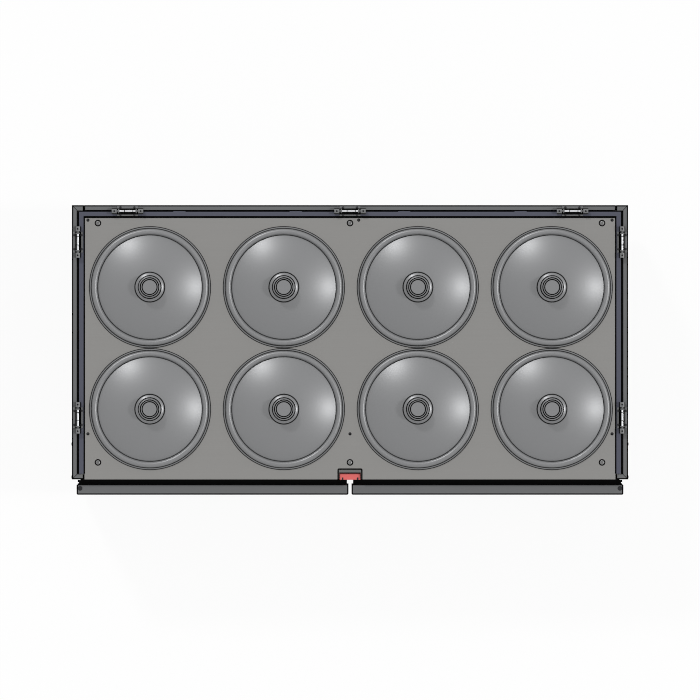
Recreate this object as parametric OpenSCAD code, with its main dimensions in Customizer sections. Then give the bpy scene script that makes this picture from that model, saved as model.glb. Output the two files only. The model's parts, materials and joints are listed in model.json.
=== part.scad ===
// Low sheet-metal serving cabinet with eight round wells under domed lids.
// Hinged flaps hang at the back and at both sides, and two pivoting doors close
// the front on black gaskets, held by one red touch catch in the deck.
// Millimetres, +Z up, the doors face -Y, the origin is on the floor below the
// middle of the plan.

/* [Cabinet] */
// Height of the deck above the floor
deck_z = 270; // [255:1:320]
// Clear deck between the outer lids and a side wall's outer face
lid_side = 7.5; // [7:0.1:40]
// Clear deck between the lids and the cabinet's front or back
lid_end = 17.7; // [17:0.1:40]
// Thickness of the deck plate
deck_t = 2; // [1.5:0.1:3]
// Gap between the deck's edge and the outer face of a side or rear wall
deck_inset = 1; // [0.5:0.1:2]
// Thickness of the folded wall sheets
sheet_t = 1.5; // [1:0.1:2]
// Width of the folded edges of the walls
fold_w = 18; // [14:0.5:20]

/* [Wells and lids] */
// Wells in a row
columns = 4; // [3:1:4]
// Rows of wells
rows = 2; // [1:1:2]
// Clear deck between the lids of a row
lid_gap_x = 23.2; // [4:0.1:60]
// Clear deck between the rows of lids
lid_gap_y = 1.4; // [1:0.1:40]
// Shift of the well pattern to the right of the centre line
well_shift_x = 1.6; // [0:0.1:4]
// Depth of a well below the deck
well_depth = 150; // [110:1:165]
// Wall of a well
well_t = 1; // [0.8:0.1:1.5]
// Corner radius at the bottom of a well
well_corner_r = 14; // [6:1:25]
// Thickness of a well's rim flange
well_flange_t = 1.2; // [0.8:0.1:1.5]
// Radius of a lid's rolled rim at its outer foot
roll_out_r = 106.8; // [96:0.1:120]
// Width of a lid's rolled rim
roll_w = 12; // [10:0.1:16]
// Width of the flat edge outside a lid's rolled rim
lid_edge_w = 3.2; // [2:0.1:8]
// Step from a rolled rim's inner foot in to the well's wall
well_step = 1.8; // [1.2:0.1:6]
// Play between a lid's outer foot and the well's flange
flange_gap = 1.2; // [0.5:0.1:3]
// Sheet thickness of a lid
lid_t = 1.2; // [0.8:0.1:1.2]
// Radius of the sphere that a lid's dome is part of
dome_r = 224; // [190:1:300]

/* [Knobs] */
// Radius of a knob's base
knob_base_r = 27.3; // [24:0.1:30]
// Radius of a knob's head
knob_head_r = 20; // [17:0.1:22]
// Radius where the rounded edge of a knob's head ends
knob_top_r = 16.8; // [15:0.1:18]
// Radius of the flat dish in a knob's head
knob_dish_r = 13.6; // [10:0.1:14]
// Radius of a knob's neck
knob_neck_r = 11; // [8:0.5:13]
// Height of a knob above the dome
knob_h = 20; // [17:0.5:26]
// Radius of a knob's stud
knob_stud_r = 4; // [3:0.1:5]
// Radius of the nut under the lid
knob_nut_r = 9; // [7:0.5:12]

/* [Flaps] */
// Thickness of a flap
flap_t = 9.6; // [8:0.1:12]
// Height of a flap
flap_h = 200; // [160:1:215]
// Thickness of a side flap's front return
return_t = 9; // [7:0.1:12]
// Sheet of a flap
flap_sheet = 1.5; // [1:0.1:2]
// Gap between a flap and its rail
hinge_gap = 2.4; // [2:0.1:4]
// Gap between a return and what it closes round
return_gap = 1.4; // [1:0.1:2]
// Distance of the side screws from the front
side_screw_y = [4, 64]; // [3:1:120]
// Side screws below the flap's top
side_screw_drop = 30; // [20:1:60]

/* [Rails and hinges] */
// Width of a side rail
side_rail_w = 10.7; // [10.4:0.1:14]
// Width of the rear rail
rear_rail_w = 9.2; // [9:0.1:14]
// Height of a rail
rail_h = 24; // [18:1:40]
// Outer rear hinges from the cabinet's side
rear_hinge_in = 78.3; // [40:0.1:160]
// Rear hinge of a side from the cabinet's back
side_hinge_back = 45.9; // [40:0.1:90]
// Front hinge of a side from the cabinet's front
side_hinge_front = 111.8; // [60:0.1:150]
// Height of a hinge's axis above the deck
axis_lift = 6; // [5.8:0.1:8]
// Length of a hinge leaf
leaf_l = 38; // [34:1:38]
// Width of a hinge leaf
leaf_w = 8.8; // [7:0.1:9]
// Thickness of a hinge leaf
leaf_t = 1.5; // [1:0.1:1.6]
// Radius of a hinge barrel
barrel_r = 4.2; // [3.6:0.1:4.2]
// Radius of a hinge pin
hinge_pin_r = 2; // [1.5:0.1:2.4]
// Lengths of a hinge's three knuckles
knuckles = [9, 14.5, 4.5]; // [4:0.5:15]
// Gap between knuckles
knuckle_gap = 0.5; // [0.3:0.1:1]
// Length of a pin block
block_l = 9; // [6:0.5:10]
// Radius of a pin block's rounded back
block_r = 5.4; // [4.6:0.1:5.4]
// Offset of the leaf screws along the hinge
leaf_screw_x = 12.7; // [8:0.1:15]
// Offset of the leaf screws from the axis
leaf_screw_y = 6.6; // [6.5:0.1:6.8]
// Radius of a leaf screw's head
leaf_screw_r = 2.2; // [1.8:0.1:2.4]
// Width of a stop tab on the rear rail
tab_w = 22; // [10:1:40]
// Places of the stop tabs between the middle and an outer hinge
tab_share = [0.244, 0.767]; // [0.15:0.001:0.85]

/* [Doors] */
// Thickness of a door
door_t = 18; // [16:0.5:24]
// Top of a door below the deck
door_drop = 14; // [12:1:24]
// Bottom of a door above the floor pan
door_lift = 4; // [2:1:10]
// Reach of a door beyond the cabinet's side
door_over = 14.5; // [13:0.1:16]
// Gap between the doors in the middle
door_gap = 5.6; // [3:0.1:8]
// Sheet of a door
door_sheet = 1.2; // [0.8:0.1:1.5]
// Corner radius of a door seen from above
door_corner_r = 2.7; // [1.5:0.1:3]
// Pivot axis inboard of a door's outer end
pivot_in = 6.3; // [6:0.1:8]
// Pivot axis in front of a door's inner face
pivot_front = 6.3; // [6:0.1:7.4]
// Radius of a door pivot pin
pivot_r = 4; // [3:0.1:4.4]
// Radius of a pivot arm's eye
eye_r = 7; // [6:0.1:7]
// Thickness of a pivot arm
arm_t = 4; // [3:0.1:5]
// Distance of a pivot arm from a door's edge
arm_in = 24; // [24:0.5:30]
// Depth of a gasket
seal_t = 8.8; // [7:0.1:10]
// Width of a gasket
seal_w = 12; // [9:0.5:13]
// Gap between a closed gasket and the front frame
seal_gap = 1.2; // [1:0.1:2]
// Distance of a gasket from a door's top and bottom
seal_in = 8; // [6:0.5:10]

/* [Front frame] */
// Width of the side posts
post_w = 25; // [24:0.5:30]
// Width of the centre post
mullion_w = 44; // [40:1:60]
// Height of the upper rail
upper_rail_h = 42; // [40:1:50]
// Height of the sill
sill_h = 25; // [22:1:30]
// Depth of the folds around the openings
opening_fold = 15; // [10:1:20]

/* [Catch] */
// Width of the notch in the deck
notch_w = 45.5; // [44:0.5:60]
// Depth of the notch
notch_d = 20; // [19:0.5:30]
// Corner radius of the notch
notch_r = 2.7; // [1:0.1:4]
// Width of the red plunger
catch_w = 38; // [30:0.5:38.4]
// Height of the plunger
catch_h = 25; // [20:0.5:26]
// Length of the plunger, front to back
catch_d = 12.8; // [10:0.1:13]
// Plunger's reach in front of the cabinet
catch_proud = 0.8; // [0.4:0.1:0.9]
// Travel of the plunger
catch_travel = 4; // [2:0.5:4]
// Distance of the pole plates from the centre
pole_x = 13.7; // [8:0.1:15]
// Width of a pole plate
pole_w = 2.6; // [1.5:0.1:3]

/* [Feet] */
// Height of the feet
foot_h = 20; // [16:1:30]
// Radius of a foot's pad
foot_r = 22; // [15:1:30]
// Foot from the cabinet's side and front
foot_in = 42; // [36:1:60]
// Thickness of a foot's pad
foot_pad_h = 7; // [5:0.5:9]
// Radius of a foot's stem
stem_r = 6; // [4:0.5:8]
// Depth of the stiffening channels under the floor
channel_h = 8; // [5:0.5:12]
// Width of the stiffening channels
channel_w = 44; // [30:1:60]

/* [Screws] */
// Outer deck screws from the cabinet's side
deck_screw_side = 24.6; // [21:0.1:34]
// Rear deck screws from the rear wall
deck_screw_back = 11.3; // [8:0.1:14]
// Front deck screws from the front
deck_screw_front = 30.9; // [24:0.1:34]
// Radius of a deck screw's head
deck_screw_r = 4.2; // [3:0.1:5]
// Radius of a deck screw's shank
shank_r = 2; // [1.5:0.1:2.4]
// Clearance round a shank, pin or stud
hole_gap = 0.2; // [0.1:0.05:0.3]
// Radius of a deck rivet's head
rivet_r = 1.8; // [1.2:0.1:2.2]
// Deck rivets from the side of the cabinet
rivet_in = 6.4; // [5:0.1:9]
// Middle rear rivet to the right of the centre line
rivet_shift = 15.9; // [12:0.1:30]
// Rear rivets from the rear wall
rivet_back = 5.9; // [4:0.1:9]
// Front rivets from the front
rivet_front = 82.7; // [60:0.1:100]

/* [Hidden] */
$fn = 64;
eps = 0.01;
past = 1;

well_count = columns * rows;

// lids, wells and plan, worked out from the sizes above
lid_r = roll_out_r + lid_edge_w;
roll_in_r = roll_out_r - roll_w;
well_r = roll_in_r - well_step;
well_flange_r = roll_out_r - lid_t - flange_gap;
well_pitch_x = 2 * lid_r + lid_gap_x;
well_pitch_y = 2 * lid_r + lid_gap_y;
cabinet_w = (columns - 1) * well_pitch_x + 2 * lid_r + 2 * lid_side;
cabinet_d = (rows - 1) * well_pitch_y + 2 * lid_r + 2 * lid_end;
half_cab_w = cabinet_w / 2;
half_w = half_cab_w + side_rail_w + hinge_gap + flap_t;
half_d = (door_t + seal_t + seal_gap + cabinet_d + rear_rail_w + hinge_gap + flap_t) / 2;
front_y = -half_d + door_t + seal_t + seal_gap;
rear_y = front_y + cabinet_d;
mid_y = (front_y + rear_y) / 2;
wall_top = deck_z - deck_t;
inner_w = cabinet_w - 2 * fold_w;
deck_screw_x = half_cab_w - deck_screw_side;
deck_hole_depth = 20;

// hinge axes
axis_z = deck_z + axis_lift;
side_axis_x = half_cab_w + side_rail_w + hinge_gap / 2;
rear_axis_y = rear_y + rear_rail_w + hinge_gap / 2;
rear_hinge_x = half_cab_w - rear_hinge_in;
side_hinge_y = [front_y + side_hinge_front, rear_y - side_hinge_back];
leaf_gap = 0.4;
barrel_l = knuckles[0] + knuckles[1] + knuckles[2] + 2 * knuckle_gap;
pin_head_l = 1.8;
block_x = leaf_l / 2 + knuckle_gap;
leaf_screw_shank_r = 1.3;
leaf_screw_l = 6;
leaf_screw_h = 1;
tab_h = rail_h / 3;
tab_drop = 0.5;

// flaps
flap_z = deck_z - flap_h;
return_x = half_cab_w + return_gap;
rear_flap_over = 0.3;
rear_flap_half = half_cab_w + rear_flap_over;
rear_return_y = rear_y + rear_rail_w + hinge_gap;
side_screw_r = 3;
side_screw_h = 1.6;
side_screw_l = 4;

// lids and knobs, heights above the deck
roll_foot_z = well_flange_t + lid_t;
roll_mid_r = (roll_out_r + roll_in_r) / 2;
roll_r = (roll_out_r - roll_in_r) / 2;
dome_edge_z = roll_foot_z + lid_t;
dome_centre_z = dome_edge_z - sqrt(dome_r * dome_r - roll_in_r * roll_in_r);
knob_z = dome_centre_z + dome_r;
knob_top = knob_z + knob_h;
knob_skirt_h = 4;
knob_grip_h = 10;
knob_dish = 1;
knob_base_edge = 1;
knob_stud_below = 5;
knob_nut_below = 8;

// doors
door_y = -half_d;
door_back_y = door_y + door_t;
door_z = foot_h + door_lift;
door_top = deck_z - door_drop;
door_h = door_top - door_z;
door_out_x = half_cab_w + door_over;
door_in_x = door_gap / 2;
pivot_x = door_out_x - pivot_in;
pivot_y = door_back_y - pivot_front;
upper_arm_z = door_top - arm_in - arm_t;
lower_arm_z = door_z + arm_in;
arm_gap = 1;
slot_play = 0.5;
slot_r = eye_r + slot_play;
slot_side = 4;
slot_front = 2;
arm_lean = [0.6, 0.8];
arm_side = arm_lean * eye_r;
pin_over = 0.4;
plate_w = 11;
plate_h = 26;
plate_t = 2;
plate_inset = 1.4;
plate_x = half_cab_w - plate_inset;
liner_step = 5;
liner_border = 26;
seal_face_y = door_back_y + seal_t;
seal_margin = 2;
seal_out_x = door_out_x - seal_margin;
seal_meet = 2.8;
seal_in_x = door_in_x + seal_meet;
seal_post_lap = 12.5;
seal_post_x = half_cab_w - seal_post_lap;
seal_step = 2;
seal_foot_share = 0.3;
seal_neck_share = 0.55;
strike_t = 0.6;
strike_h = 8;
strike_in = 2;
strike_side = 0.5;

// front frame and catch
opening_z0 = foot_h + sill_h;
opening_z1 = deck_z - upper_rail_h;
opening_x0 = mullion_w / 2;
opening_x1 = half_cab_w - post_w;
screw_tab_w = 30;
screw_tab_edge = 10;
screw_tab_d = deck_screw_front + screw_tab_edge;
catch_gap = 0.6;
housing_t = 2;
housing_side = 0.5;
housing_w = notch_w - 2 * housing_side;
catch_play = 0.4;
catch_top = deck_z - 2 * housing_t - catch_play;
catch_z = catch_top - catch_h;
catch_y = front_y - catch_proud;
housing_z = catch_z - catch_gap - housing_t;
housing_back_y = catch_y + catch_d + catch_travel + catch_gap;
housing_play = 0.3;
pole_d = 4;

foot_x = half_cab_w - foot_in;
foot_y0 = front_y + foot_in;
foot_y1 = rear_y - foot_in;
foot_hole_gap = 0.3;
pad_edge = 1.5;
pad_lift = 1;
pad_step = 2;
pad_top_share = 0.7;
foot_nut_h = 4;
foot_nut_share = 1.8;
stem_over = 6;
deck_screw_h = 1.8;
deck_screw_l = 8;
rivet_h = 0.8;
crown_share = 1.6;
channel_y = cabinet_d / 4;
channel_l = cabinet_w - 4 * foot_in;

dark_grey = [0.41, 0.42, 0.42];
steel = [0.55, 0.55, 0.54];
lid_grey = [0.53, 0.53, 0.54];
rail_blue = [0.33, 0.34, 0.40];
bright = [0.78, 0.78, 0.80];
black = [0.06, 0.06, 0.07];
red = [0.84, 0.41, 0.40];

// ---------- helpers ----------

// a box given by its lowest and highest corners
module block(low, high) {
    translate(low) cube(high - low);
}

// the left-hand and the right-hand copy of a piece made on the right
module on_left() {
    mirror([1, 0, 0]) children();
}

// a folded channel's section, open towards +X
module channel_section(depth, height, t) {
    difference() {
        square([depth, height]);
        translate([t, t]) square([depth, height - 2 * t]);
    }
}

// a square with its two lower corners rounded, centred on X
module rounded_front(width, depth, r) {
    translate([-width / 2 + r, 0]) square([width - 2 * r, depth]);
    translate([-width / 2, r]) square([width, depth - r]);
    for (x = [-1, 1]) translate([x * (width / 2 - r), r]) circle(r);
}

// a picture-frame of bar width w in the XZ plane, from y0 to y1
module upright_frame(x0, x1, z0, z1, w, y0, y1) {
    difference() {
        block([x0, y0, z0], [x1, y1, z1]);
        block([x0 + w, y0 - past, z0 + w], [x1 - w, y1 + past, z1 - w]);
    }
}

// a round screw standing on z = 0, its shank below
module screw(head_r, head_h, shank, length) {
    crown_r = head_r * crown_share;
    rotate_extrude() {
        intersection() {
            translate([0, head_h - crown_r]) circle(crown_r);
            square([head_r, head_h]);
        }
        translate([0, -length]) square([shank, length + eps]);
    }
}

module at_wells() {
    for (i = [1 : well_count]) at_well(i) children();
}

// wells are numbered from the back left, row by row
module at_well(i) {
    column = (i - 1) % columns;
    row = floor((i - 1) / columns);
    x = (column - (columns - 1) / 2) * well_pitch_x + well_shift_x;
    y = mid_y + ((rows - 1) / 2 - row) * well_pitch_y;
    translate([x, y, deck_z]) children();
}

module at_feet() {
    for (x = [-foot_x, foot_x], y = [foot_y0, foot_y1]) translate([x, y, 0]) children();
}

module at_deck_screws() {
    for (x = [-deck_screw_x, 0, deck_screw_x],
         y = [front_y + deck_screw_front, rear_y - deck_screw_back])
        translate([x, y, deck_z]) children();
}

module at_deck_rivets() {
    side = half_cab_w - rivet_in;
    for (x = [-side, rivet_shift, side]) translate([x, rear_y - rivet_back, deck_z]) children();
    for (x = [-side, 0, side]) translate([x, front_y + rivet_front, deck_z]) children();
}

// a hinge's own frame: X along the pin, +Y out to the flap, Z up from the axis
module at_right_hinges() {
    for (y = side_hinge_y)
        translate([side_axis_x, y, axis_z]) mirror([1, 0, 0]) rotate([0, 0, 90]) children();
}

module at_left_hinges() {
    on_left() at_right_hinges() children();
}

module at_rear_hinges() {
    for (x = [-rear_hinge_x, 0, rear_hinge_x]) translate([x, rear_axis_y, axis_z]) children();
}

module at_all_hinges() {
    at_left_hinges() children();
    at_right_hinges() children();
    at_rear_hinges() children();
}

// the holes of the leaf screws on one side of a hinge (out = 1 flap, -1 rail)
module at_leaf_screws(out) {
    for (x = [-leaf_screw_x, leaf_screw_x])
        translate([x, out * leaf_screw_y, leaf_t - axis_lift]) children();
}

module leaf_screw_holes(out) {
    at_leaf_screws(out) translate([0, 0, -leaf_screw_l - past])
        cylinder(r = leaf_screw_shank_r + hole_gap, h = leaf_screw_l + 2 * past);
}

// ---------- cabinet ----------

module base_pan() {
    color(steel) difference() {
        union() {
            block([-half_cab_w, front_y, foot_h], [half_cab_w, rear_y, foot_h + sheet_t]);
            for (y = [mid_y - channel_y, mid_y + channel_y])
                translate([-channel_l / 2, y, foot_h - channel_h]) rotate([90, 0, 90])
                    linear_extrude(channel_l) floor_channel();
        }
        at_feet() cylinder(r = stem_r + foot_hole_gap, h = foot_h + 2 * sheet_t);
    }
}

// section of a channel hung under the floor, its two edges against the sheet
module floor_channel() {
    difference() {
        translate([-channel_w / 2, 0]) square([channel_w, channel_h + eps]);
        translate([-channel_w / 2 + sheet_t, sheet_t]) square([channel_w - 2 * sheet_t, channel_h]);
    }
}

module right_wall() {
    color(steel) difference() {
        translate([half_cab_w, front_y + sheet_t, foot_h + sheet_t]) mirror([1, 0, 0])
            rotate([90, 0, 180]) mirror([1, 0, 0])
                linear_extrude(cabinet_d - 2 * sheet_t)
                    channel_section(fold_w, wall_top - foot_h - sheet_t, sheet_t);
        deck_screw_holes();
    }
}

module deck_screw_holes() {
    at_deck_screws() translate([0, 0, -deck_hole_depth])
        cylinder(r = shank_r + hole_gap, h = deck_hole_depth + past);
}

module rear_wall() {
    color(steel) difference() {
        union() {
            block([-half_cab_w, rear_y - sheet_t, foot_h + sheet_t], [half_cab_w, rear_y, wall_top]);
            translate([inner_w / 2, rear_y, foot_h + sheet_t]) rotate([90, 0, -90])
                linear_extrude(inner_w)
                    channel_section(fold_w, wall_top - foot_h - sheet_t, sheet_t);
        }
        deck_screw_holes();
    }
}

module front_frame() {
    color(steel) difference() {
        union() {
            block([-half_cab_w, front_y, foot_h + sheet_t], [half_cab_w, front_y + sheet_t, wall_top]);
            translate([-inner_w / 2, front_y, foot_h + sheet_t]) rotate([90, 0, 90])
                linear_extrude(inner_w)
                    channel_section(fold_w, wall_top - foot_h - sheet_t, sheet_t);
            screw_tab(-deck_screw_x, screw_tab_w);
            screw_tab(0, notch_w + screw_tab_w / 2);
            screw_tab(deck_screw_x, screw_tab_w);
            for (side = [0, 1]) mirror([side, 0, 0])
                block([opening_x0 - sheet_t, front_y, opening_z0 - sheet_t],
                      [opening_x1 + sheet_t, front_y + opening_fold, opening_z1 + sheet_t]);
        }
        for (side = [0, 1]) mirror([side, 0, 0])
            block([opening_x0, front_y - past, opening_z0],
                  [opening_x1, front_y + opening_fold + past, opening_z1]);
        block([-notch_w / 2, front_y - past, housing_z - housing_play],
              [notch_w / 2, front_y + notch_d, deck_z]);
        deck_screw_holes();
    }
}

// tongue of the upper fold that takes a front deck screw
module screw_tab(x, width) {
    block([max(x - width / 2, -inner_w / 2), front_y, wall_top - sheet_t],
          [min(x + width / 2, inner_w / 2), front_y + screw_tab_d, wall_top]);
}

module deck_plate() {
    width = cabinet_w - 2 * deck_inset;
    color(steel) difference() {
        block([-width / 2, front_y, wall_top], [width / 2, rear_y - deck_inset, deck_z]);
        at_wells() translate([0, 0, -deck_t - past])
            cylinder(r = well_r + well_t + past, h = deck_t + 2 * past);
        translate([0, front_y + notch_d, wall_top - past]) mirror([0, 1, 0])
            linear_extrude(deck_t + 2 * past) rounded_front(notch_w, notch_d + past, notch_r);
        deck_screw_holes();
        at_deck_rivets() translate([0, 0, -deck_t - past])
            cylinder(r = rivet_r / 2 + hole_gap, h = deck_t + 2 * past);
    }
}

// folded rail section: X outwards from the wall, open to the wall
module rail_section(width) {
    difference() {
        square([width, rail_h]);
        translate([-past, flap_sheet]) square([width - flap_sheet + past, rail_h - 2 * flap_sheet]);
    }
}

module right_hinge_rail() {
    start_y = front_y + return_t + return_gap;
    color(rail_blue) difference() {
        translate([half_cab_w, rear_y + rear_rail_w, deck_z - rail_h]) rotate([90, 0, 0])
            linear_extrude(rear_y + rear_rail_w - start_y) rail_section(side_rail_w);
        at_right_hinges() leaf_screw_holes(-1);
    }
}

module rear_hinge_rail() {
    tab_t = hinge_gap / 2;
    color(rail_blue) difference() {
        union() {
            translate([-half_cab_w, rear_y, deck_z - rail_h]) rotate([90, 0, 90])
                linear_extrude(cabinet_w) rail_section(rear_rail_w);
            for (side = [-1, 1], share = tab_share)
                translate([side * share * rear_hinge_x - tab_w / 2, rear_y + rear_rail_w - eps,
                           deck_z - tab_h])
                    cube([tab_w, tab_t, tab_h - tab_drop]);
        }
        at_rear_hinges() leaf_screw_holes(-1);
    }
}

// a drawn tub: straight wall, rounded bottom, flat flange on the deck
module well() {
    color(bright) rotate_extrude() {
        difference() {
            tub_section(well_r + well_t, well_depth, well_corner_r + well_t);
            translate([0, well_t]) tub_section(well_r, well_depth + past, well_corner_r);
        }
        translate([well_r, 0]) square([well_flange_r - well_r, well_flange_t]);
    }
}

// half section of a tub of radius r, its mouth at y = 0
module tub_section(r, depth, corner) {
    translate([0, -depth]) square([r - corner, depth]);
    translate([0, corner - depth]) square([r, depth - corner + eps]);
    intersection() {
        translate([r - corner, corner - depth]) circle(corner);
        translate([0, -depth]) square([r, depth]);
    }
}

module deck_screws() {
    color(steel) at_deck_screws()
        screw(deck_screw_r, deck_screw_h, shank_r, deck_screw_l);
}

module deck_rivets() {
    color(steel) at_deck_rivets() screw(rivet_r, rivet_h, rivet_r / 2, deck_t);
}

module catch_housing() {
    color(dark_grey) difference() {
        block([-housing_w / 2, front_y + sheet_t / 2, housing_z],
              [housing_w / 2, housing_back_y + housing_t, deck_z]);
        block([-catch_w / 2 - catch_gap, front_y - past, housing_z + housing_t],
              [catch_w / 2 + catch_gap, housing_back_y, catch_top + catch_play]);
        block([-catch_w / 2 - catch_gap, front_y - past, housing_z + housing_t],
              [catch_w / 2 + catch_gap, catch_y + catch_d + catch_gap, deck_z + past]);
    }
}

module levelling_feet() {
    color(black) at_feet() rotate_extrude() {
        translate([0, pad_lift]) square([foot_r, foot_pad_h - pad_lift - pad_step]);
        square([foot_r - pad_edge, foot_pad_h - pad_lift]);
        square([foot_r * pad_top_share, foot_pad_h]);
        square([stem_r, foot_h + sheet_t + stem_over]);
        translate([0, foot_h - foot_nut_h]) square([stem_r * foot_nut_share, foot_nut_h]);
    }
}

// ---------- hinges ----------

// one knuckle between x0 and x0 + length, its web going down to the leaf
module knuckle(x0, length, out) {
    translate([x0, 0, 0]) rotate([0, 90, 0]) cylinder(r = barrel_r, h = length);
    block([x0, out > 0 ? leaf_gap : -barrel_r, -axis_lift],
          [x0 + length, out > 0 ? barrel_r : -leaf_gap, 0]);
}

module leaf_plate(out) {
    near = out > 0 ? leaf_gap : -leaf_gap - leaf_w;
    block([-leaf_l / 2, near, -axis_lift], [leaf_l / 2, near + leaf_w, leaf_t - axis_lift]);
}

module pin_bore() {
    translate([-leaf_l, 0, 0]) rotate([0, 90, 0])
        cylinder(r = hinge_pin_r + hole_gap, h = 2 * leaf_l);
}

module fixed_leaf() {
    difference() {
        union() {
            leaf_plate(-1);
            knuckle(-barrel_l / 2, knuckles[0], -1);
            knuckle(barrel_l / 2 - knuckles[2], knuckles[2], -1);
        }
        pin_bore();
        leaf_screw_holes(-1);
    }
}

module moving_leaf() {
    difference() {
        union() {
            leaf_plate(1);
            knuckle(-barrel_l / 2 + knuckles[0] + knuckle_gap, knuckles[1], 1);
        }
        pin_bore();
        leaf_screw_holes(1);
    }
}

// the pin with its two heads and the block that holds it at each end
module hinge_pin() {
    rotate([0, 90, 0]) translate([0, 0, -block_x - eps])
        cylinder(r = hinge_pin_r, h = 2 * (block_x + eps));
    for (side = [0, 1]) mirror([side, 0, 0]) {
        translate([barrel_l / 2 + knuckle_gap, 0, 0]) rotate([0, 90, 0])
            cylinder(r = barrel_r, h = pin_head_l);
        translate([block_x, 0, 0]) rotate([0, 90, 0]) cylinder(r = block_r, h = block_l);
        block([block_x, -block_r, -axis_lift], [block_x + block_l, -hinge_gap / 2, block_r - 1]);
    }
}

module fixed_hinge_leaves() {
    color(bright) at_all_hinges() fixed_leaf();
}

module hinge_pins() {
    color(bright) at_all_hinges() hinge_pin();
}

module leaf_screw() {
    screw(leaf_screw_r, leaf_screw_h, leaf_screw_shank_r, leaf_screw_l);
}

module fixed_leaf_screws() {
    color(steel) at_all_hinges() at_leaf_screws(-1) leaf_screw();
}

// ---------- flaps ----------

// hollow folded post, closed at the top and open at the bottom
module folded_post(low, high) {
    wall = [flap_sheet, flap_sheet, 0];
    difference() {
        block(low, high);
        block(low + wall - [0, 0, past], high - wall - [0, 0, flap_sheet]);
    }
}

// a tray with folded edges, and a return at each end that closes round the rail
module right_flap_panel() {
    inner_x = half_w - flap_t;
    color(dark_grey) difference() {
        union() {
            difference() {
                block([inner_x, front_y, flap_z], [half_w, half_d, deck_z]);
                block([inner_x - past, front_y + return_t - flap_sheet, flap_z + flap_sheet],
                      [half_w - flap_sheet, rear_return_y + flap_sheet, deck_z - flap_sheet]);
                for (y = [[front_y, front_y + return_t], [rear_return_y, half_d]])
                    block([inner_x - past, y[0] + flap_sheet, flap_z - past],
                          [half_w - flap_sheet, y[1] - flap_sheet, deck_z - flap_sheet]);
            }
            folded_post([return_x, front_y, flap_z], [half_w, front_y + return_t, deck_z]);
            folded_post([return_x, rear_return_y, flap_z], [half_w, half_d, deck_z]);
        }
        at_right_hinges() leaf_screw_holes(1);
        at_side_screws() rotate([0, 90, 0]) translate([0, 0, -flap_t])
            cylinder(r = leaf_screw_shank_r + hole_gap, h = flap_t + past);
    }
}

module at_side_screws() {
    for (y = side_screw_y) translate([half_w, front_y + y, deck_z - side_screw_drop]) children();
}

module right_flap_leaves() {
    color(bright) at_right_hinges() moving_leaf();
}

module right_flap_screws() {
    color(steel) {
        at_right_hinges() at_leaf_screws(1) leaf_screw();
        at_side_screws() rotate([0, 90, 0])
            screw(side_screw_r, side_screw_h, leaf_screw_shank_r, side_screw_l);
    }
}

module rear_flap_panel() {
    inner_y = half_d - flap_t;
    color(dark_grey) difference() {
        block([-rear_flap_half, inner_y, flap_z], [rear_flap_half, half_d, deck_z]);
        block([-rear_flap_half + flap_sheet, inner_y - past, flap_z + flap_sheet],
              [rear_flap_half - flap_sheet, half_d - flap_sheet, deck_z - flap_sheet]);
        at_rear_hinges() leaf_screw_holes(1);
    }
}

module rear_flap_leaves() {
    color(bright) at_rear_hinges() moving_leaf();
}

module rear_flap_screws() {
    color(steel) at_rear_hinges() at_leaf_screws(1) leaf_screw();
}

// ---------- doors, made on the right ----------

// room for one pivot arm as the door swings round it
module arm_slot(z) {
    low = z - arm_gap;
    high = z + arm_t + arm_gap;
    translate([pivot_x, pivot_y, low]) cylinder(r = slot_r, h = high - low);
    block([plate_x - plate_w - slot_side, pivot_y - slot_r + slot_front, low],
          [door_out_x + past, door_back_y + seal_t + past, high]);
}

module arm_slots() {
    arm_slot(lower_arm_z);
    arm_slot(upper_arm_z);
}

module right_door_skin() {
    width = door_out_x - door_in_x;
    inner = width - 2 * door_sheet;
    color(dark_grey) difference() {
        translate([(door_out_x + door_in_x) / 2, door_y, door_z])
            linear_extrude(door_h) rounded_front(width, door_t, door_corner_r);
        translate([(door_out_x + door_in_x) / 2, door_y + door_sheet, door_z + door_sheet])
            linear_extrude(door_h - 2 * door_sheet)
                rounded_front(inner, door_t, door_corner_r - door_sheet);
        translate([pivot_x, pivot_y, door_z - past])
            cylinder(r = pivot_r + hole_gap, h = door_h + 2 * past);
        arm_slots();
    }
}

// inner pan with a stepped field, let into the back of the skin
module right_door_liner() {
    x0 = door_in_x + door_sheet;
    x1 = door_out_x - door_sheet;
    z0 = door_z + door_sheet;
    z1 = door_top - door_sheet;
    field = liner_border;
    color(lid_grey) difference() {
        union() {
            block([x0, door_back_y - door_sheet, z0], [x1, door_back_y, z1]);
            block([x0 + field, door_back_y - liner_step - door_sheet, z0 + field],
                  [x1 - field, door_back_y, z1 - field]);
        }
        block([x0 + field + door_sheet, door_back_y - liner_step, z0 + field + door_sheet],
              [x1 - field - door_sheet, door_back_y + past, z1 - field - door_sheet]);
        arm_slots();
    }
}

// seal in three layers: foot, narrower neck and a wide head
module right_door_gasket() {
    z0 = door_z + seal_in;
    z1 = door_top - seal_in;
    foot = seal_t * seal_foot_share;
    neck = seal_t * seal_neck_share;
    color(black) difference() {
        union() {
            seal_ring(z0, z1, 0, 0, foot);
            seal_ring(z0, z1, seal_step, foot, neck);
            seal_ring(z0, z1, 0, neck, seal_t);
        }
        strike_block(eps);
    }
}

// one layer of the seal, with the top and bottom runs carried out over the pivots
module seal_ring(z0, z1, inset, from, to) {
    y0 = door_back_y + from;
    y1 = door_back_y + to + (to < seal_t ? eps : 0);
    upright_frame(seal_in_x + inset, seal_post_x - inset, z0 + inset, z1 - inset,
                  seal_w - 2 * inset, y0, y1);
    for (z = [z0, z1 - seal_w])
        block([seal_post_x - seal_w, y0, z + inset],
              [seal_out_x - inset, y1, z + seal_w - inset]);
}

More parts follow.
